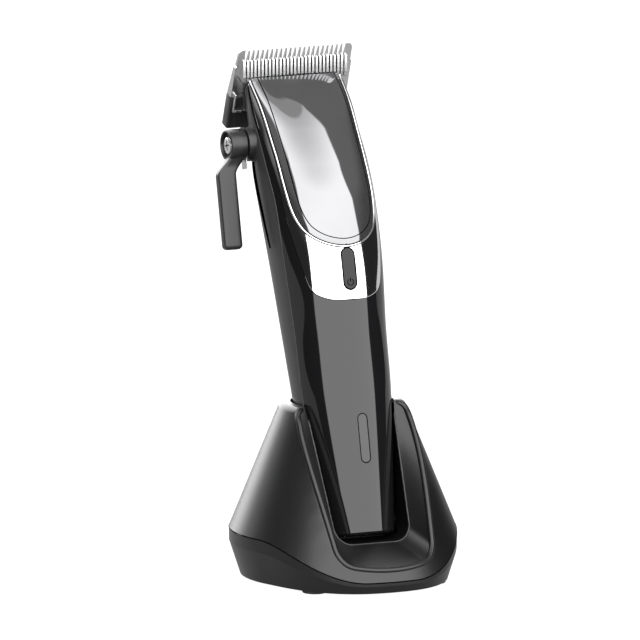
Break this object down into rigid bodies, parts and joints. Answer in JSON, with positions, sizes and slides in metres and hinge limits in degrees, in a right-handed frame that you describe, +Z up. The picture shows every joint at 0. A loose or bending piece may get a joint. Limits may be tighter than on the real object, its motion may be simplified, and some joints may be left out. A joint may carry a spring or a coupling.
{
  "type": "hair clipper",
  "caption": "Cordless hair clipper with steel comb blade, taper lever and power button, leaning in a round tapered charging dock.",
  "frame": {"origin": "on the surface it stands on, under the middle of the object's overall box", "axes": "+Z up, -Y towards the notched front of the dock and the clipper's controls, +X to the right seen from the front"},
  "size_m": [0.0822, 0.1032, 0.1876],
  "materials": {
    "black_gloss": "high gloss",
    "dark_chrome": "dark mirror",
    "bright_chrome": "mirror",
    "grey_satin": "satin",
    "black_satin": "satin",
    "lever_black": "satin",
    "blade_steel": "ground",
    "steel": "plain",
    "dark_holder": "satin",
    "white_plastic": "plain",
    "rubber_black": "matt",
    "board_green": "solder mask",
    "cell_wrap": "shrink wrap",
    "gold_contact": "plated",
    "lens_smoke": "smoked",
    "button_grey": "satin",
    "ballast": "plain"
  },
  "bodies": {
    "dock": {"dock_shell": "black_satin", "dock_cup": "black_satin", "dock_base": "black_satin", "dock_feet": "rubber_black", "dock_screws": "steel", "dock_power_inlet": "steel", "dock_circuit_board": "board_green", "dock_ballast_plate": "ballast", "dock_pin_guide": "white_plastic", "dock_pin_springs": "steel"},
    "contact_pins": {"dock_contact_pins": "gold_contact"},
    "clipper": {"front_shell": "black_gloss", "chrome_cover": "bright_chrome", "head_shield": "dark_chrome", "shield_rim": "bright_chrome", "back_shell": "grey_satin", "lever_boss": "lever_black", "casing_screws": "steel", "end_cap": "black_satin", "charging_contacts": "gold_contact", "indicator_lens": "lens_smoke", "button_spring": "steel", "button_switch": "white_plastic", "circuit_board": "board_green", "indicator_light": "white_plastic", "battery_cell": "cell_wrap", "motor_can": "steel", "motor_cradle": "white_plastic", "head_bracket": "white_plastic", "blade_tension_springs": "steel", "lever_detent_spring": "steel"},
    "button": {"power_button": "button_grey"},
    "motor_rotor": {"motor_crank": "steel"},
    "cutter": {"cutter_blade": "blade_steel", "drive_yoke": "white_plastic"},
    "comb": {"fixed_blade": "blade_steel", "blade_carrier": "dark_holder", "blade_screws": "steel"},
    "lever": {"taper_lever": "lever_black", "lever_shaft": "steel", "lever_screw": "steel"}
  },
  "joints": [
    {"name": "lift_out", "type": "slide", "parent": "dock", "child": "clipper", "axis": [0, 0.225, 0.9744], "range_m": [0, 0.09]},
    {"name": "pin_press", "type": "slide", "parent": "dock", "child": "contact_pins", "axis": [0, -0.225, -0.9744], "range_m": [0, 0.001], "stiffness_N_per_m": 150},
    {"name": "button_press", "type": "slide", "parent": "clipper", "child": "button", "axis": [0, 0.9744, -0.225], "range_m": [0, 0.0006], "stiffness_N_per_m": 800},
    {"name": "lever_swing", "type": "hinge", "parent": "clipper", "child": "lever", "pos_m": [-0.026, 0.03086, 0.15378], "axis": [-1, 0, 0], "range_deg": [0, 40]},
    {"name": "comb_slide", "type": "slide", "parent": "clipper", "child": "comb", "axis": [0, 0.3371, -0.9415], "range_m": [0, 0.0022]},
    {"name": "cutter_slide", "type": "slide", "parent": "clipper", "child": "cutter", "axis": [1, 0, 0], "range_m": [-0.00156, 0.00156]},
    {"name": "crank_turn", "type": "hinge", "parent": "clipper", "child": "motor_rotor", "pos_m": [0, 0.01793, 0.1309], "axis": [0, 0.225, 0.9744], "range_deg": [-60, 60]}
  ],
  "couplings": [
    {"joint": "comb_slide", "follows": "lever_swing", "m_per_rad": 0.002864},
    {"joint": "crank_turn", "follows": "cutter_slide", "rad_per_m": 671.2}
  ]
}
